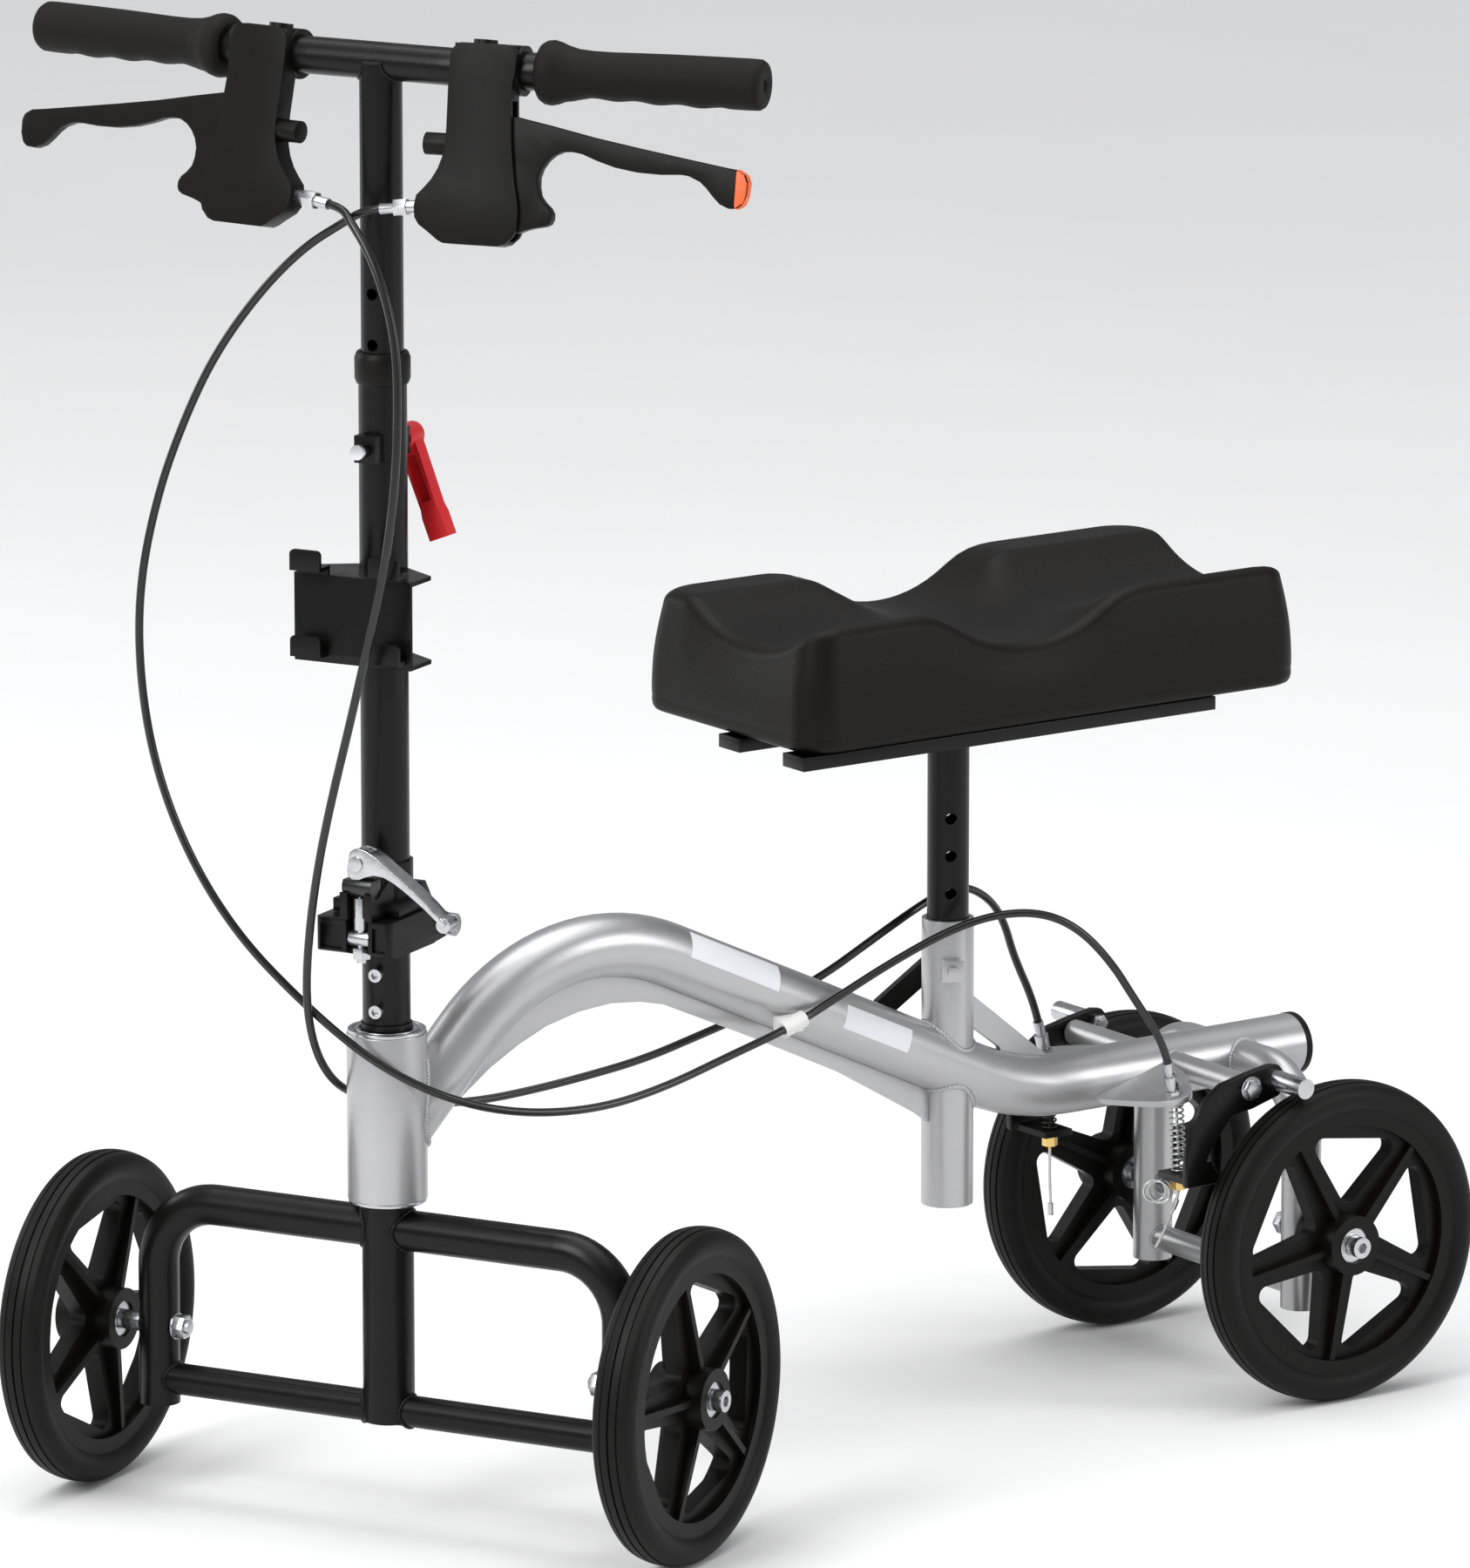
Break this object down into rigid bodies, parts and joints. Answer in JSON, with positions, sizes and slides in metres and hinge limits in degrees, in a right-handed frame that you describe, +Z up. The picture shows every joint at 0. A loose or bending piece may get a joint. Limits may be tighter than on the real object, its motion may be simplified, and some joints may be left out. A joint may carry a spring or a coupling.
{
  "type": "knee scooter",
  "caption": "Steerable knee scooter with bent tube frame, contoured kneeling pad, telescoping folding handlebar column, hand brakes and rear pin brakes.",
  "frame": {"origin": "middle of the footprint, on the floor", "axes": "+Z up, the rider faces -Y, +X is the rider's left; the front end stands turned 27.3 degrees to the left at rest"},
  "size_m": [0.4628, 0.9062, 0.8919],
  "materials": {
    "silver_paint": "satin metallic silver paint",
    "black_paint": "satin black powder coat",
    "zinc": "zinc plated steel",
    "brass": "plain brass",
    "black_plastic": "moulded black plastic",
    "white_plastic": "moulded white plastic",
    "red_plastic": "moulded red plastic",
    "tyre": "solid black rubber",
    "grip_rubber": "soft black rubber",
    "pad_skin": "satin black moulded foam skin",
    "sheath": "black cable sheath"
  },
  "bodies": {
    "frame": {"head_tube": "silver_paint", "headset_cups": "zinc", "main_tube": "silver_paint", "frame_ribs": "silver_paint", "seat_tube": "silver_paint", "seat_clamp_nut": "silver_paint", "main_tube_cap": "black_plastic", "rear_leg_left": "silver_paint", "rear_leg_right": "silver_paint", "rear_cross_tubes": "silver_paint", "cable_plate": "silver_paint", "cable_adjusters": "zinc", "cable_clip": "white_plastic", "rear_axles": "zinc", "brake_pivot_bolts": "zinc", "brake_spring_left": "zinc", "brake_spring_right": "zinc", "brake_cable_left": "sheath", "brake_cable_right": "sheath"},
    "rear_brake_left": {"brake_arm_left": "black_paint", "brake_pin_left": "zinc", "brake_anchor_left": "brass"},
    "rear_brake_right": {"brake_arm_right": "black_paint", "brake_pin_right": "zinc", "brake_anchor_right": "brass"},
    "wheel_rear_left": {"rim_rear_left": "black_plastic", "tyre_rear_left": "tyre"},
    "wheel_rear_right": {"rim_rear_right": "black_plastic", "tyre_rear_right": "tyre"},
    "wheel_front_left": {"rim_front_left": "black_plastic", "tyre_front_left": "tyre"},
    "wheel_front_right": {"rim_front_right": "black_plastic", "tyre_front_right": "tyre"},
    "fork": {"fork_hoop": "black_paint", "fork_lower_tube": "black_paint", "steerer_tube": "black_paint", "front_axles": "zinc", "fold_base": "black_paint", "fork_bolts": "zinc"},
    "column": {"fold_bracket": "black_paint", "column_tube": "black_paint", "column_collar": "black_plastic", "clamp_boss": "black_paint", "basket_bracket": "black_paint"},
    "height_clamp": {"clamp_lever": "red_plastic"},
    "latch": {"latch_bolt": "zinc"},
    "quick_release": {"latch_lever": "zinc"},
    "handlebar_slide": {"inner_tube": "black_paint", "handlebar": "black_paint", "grips": "grip_rubber", "brake_housings": "black_plastic", "cable_ferrules": "zinc"},
    "hand_brake_left": {"brake_lever_left": "black_plastic"},
    "hand_brake_right": {"brake_lever_right": "black_plastic"},
    "lock_left": {"lock_button_left": "black_plastic"},
    "lock_right": {"lock_button_right": "black_plastic"},
    "knee_rest": {"seat_post": "black_paint", "knee_pad": "pad_skin", "pad_rails": "black_paint"},
    "seat_clamp": {"seat_clamp_lever": "black_plastic"}
  },
  "joints": [
    {"name": "steering", "type": "hinge", "parent": "frame", "child": "fork", "pos_m": [0, -0.2703, 0.247], "axis": [0, 0, 1], "range_deg": [-72.3, 17.7], "deforming": ["brake_cable_left", "brake_cable_right"]},
    {"name": "column_fold", "type": "hinge", "parent": "fork", "child": "column", "pos_m": [-0.01307, -0.24497, 0.3585], "axis": [-0.8886, -0.4587, 0], "range_deg": [0, 50], "deforming": ["brake_cable_left", "brake_cable_right"]},
    {"name": "bar_height", "type": "slide", "parent": "column", "child": "handlebar_slide", "axis": [0, 0, 1], "range_m": [-0.06, 0.09], "deforming": ["brake_cable_left", "brake_cable_right"]},
    {"name": "height_clamp_lever", "type": "hinge", "parent": "column", "child": "height_clamp", "pos_m": [-0.01284, -0.24542, 0.648], "axis": [0.4587, -0.8886, 0], "range_deg": [0, 110]},
    {"name": "latch_swing", "type": "hinge", "parent": "column", "child": "latch", "pos_m": [0.01872, -0.30003, 0.3915], "axis": [-0.8886, -0.4587, 0], "range_deg": [0, 16]},
    {"name": "quick_release_lever", "type": "hinge", "parent": "latch", "child": "quick_release", "pos_m": [0.01872, -0.30003, 0.406], "axis": [0.4587, -0.8886, 0], "range_deg": [0, 75]},
    {"name": "hand_brake_left", "type": "hinge", "parent": "handlebar_slide", "child": "hand_brake_left", "pos_m": [0.07338, -0.25076, 0.8331], "axis": [0.5512, -0.808, 0.2079], "range_deg": [0, 11], "stiffness_Nm_per_rad": 2},
    {"name": "brake_lock_left", "type": "slide", "parent": "handlebar_slide", "child": "lock_left", "axis": [0.8261, 0.5635, 0], "range_m": [0, 0.004], "stiffness_N_per_m": 400},
    {"name": "hand_brake_right", "type": "hinge", "parent": "handlebar_slide", "child": "hand_brake_right", "pos_m": [-0.05843, -0.31879, 0.8331], "axis": [-0.3394, 0.9174, -0.2079], "range_deg": [0, 11], "stiffness_Nm_per_rad": 2},
    {"name": "brake_lock_right", "type": "slide", "parent": "handlebar_slide", "child": "lock_right", "axis": [-0.9379, -0.3469, 0], "range_m": [0, 0.004], "stiffness_N_per_m": 400},
    {"name": "brake_shoe_left", "type": "hinge", "parent": "frame", "child": "rear_brake_left", "pos_m": [0.09, 0.2997, 0.1993], "axis": [-1, 0, 0], "range_deg": [0, 8.8], "deforming": ["brake_spring_left"]},
    {"name": "brake_shoe_right", "type": "hinge", "parent": "frame", "child": "rear_brake_right", "pos_m": [-0.09, 0.2997, 0.1993], "axis": [-1, 0, 0], "range_deg": [0, 8.8], "deforming": ["brake_spring_right"]},
    {"name": "wheel_spin_front_left", "type": "hinge", "parent": "fork", "child": "wheel_front_left", "pos_m": [0.17683, -0.17903, 0.1], "axis": [0.8886, 0.4587, 0], "continuous": true},
    {"name": "wheel_spin_front_right", "type": "hinge", "parent": "fork", "child": "wheel_front_right", "pos_m": [-0.17683, -0.36157, 0.1], "axis": [0.8886, 0.4587, 0], "continuous": true},
    {"name": "wheel_spin_rear_left", "type": "hinge", "parent": "frame", "child": "wheel_rear_left", "pos_m": [0.111, 0.3531, 0.1], "axis": [1, 0, 0], "continuous": true},
    {"name": "wheel_spin_rear_right", "type": "hinge", "parent": "frame", "child": "wheel_rear_right", "pos_m": [-0.111, 0.3531, 0.1], "axis": [1, 0, 0], "continuous": true},
    {"name": "knee_rest_height", "type": "slide", "parent": "frame", "child": "knee_rest", "axis": [0, 0, 1], "range_m": [-0.046, 0.069]},
    {"name": "seat_clamp_lever_turn", "type": "hinge", "parent": "frame", "child": "seat_clamp", "pos_m": [-0.02119, 0.14947, 0.2818], "axis": [-0.8829, 0.4695, 0], "range_deg": [0, 110]}
  ],
  "couplings": [
    {"joint": "brake_shoe_left", "follows": "hand_brake_left", "ratio": 0.8},
    {"joint": "brake_shoe_right", "follows": "hand_brake_right", "ratio": 0.8}
  ]
}
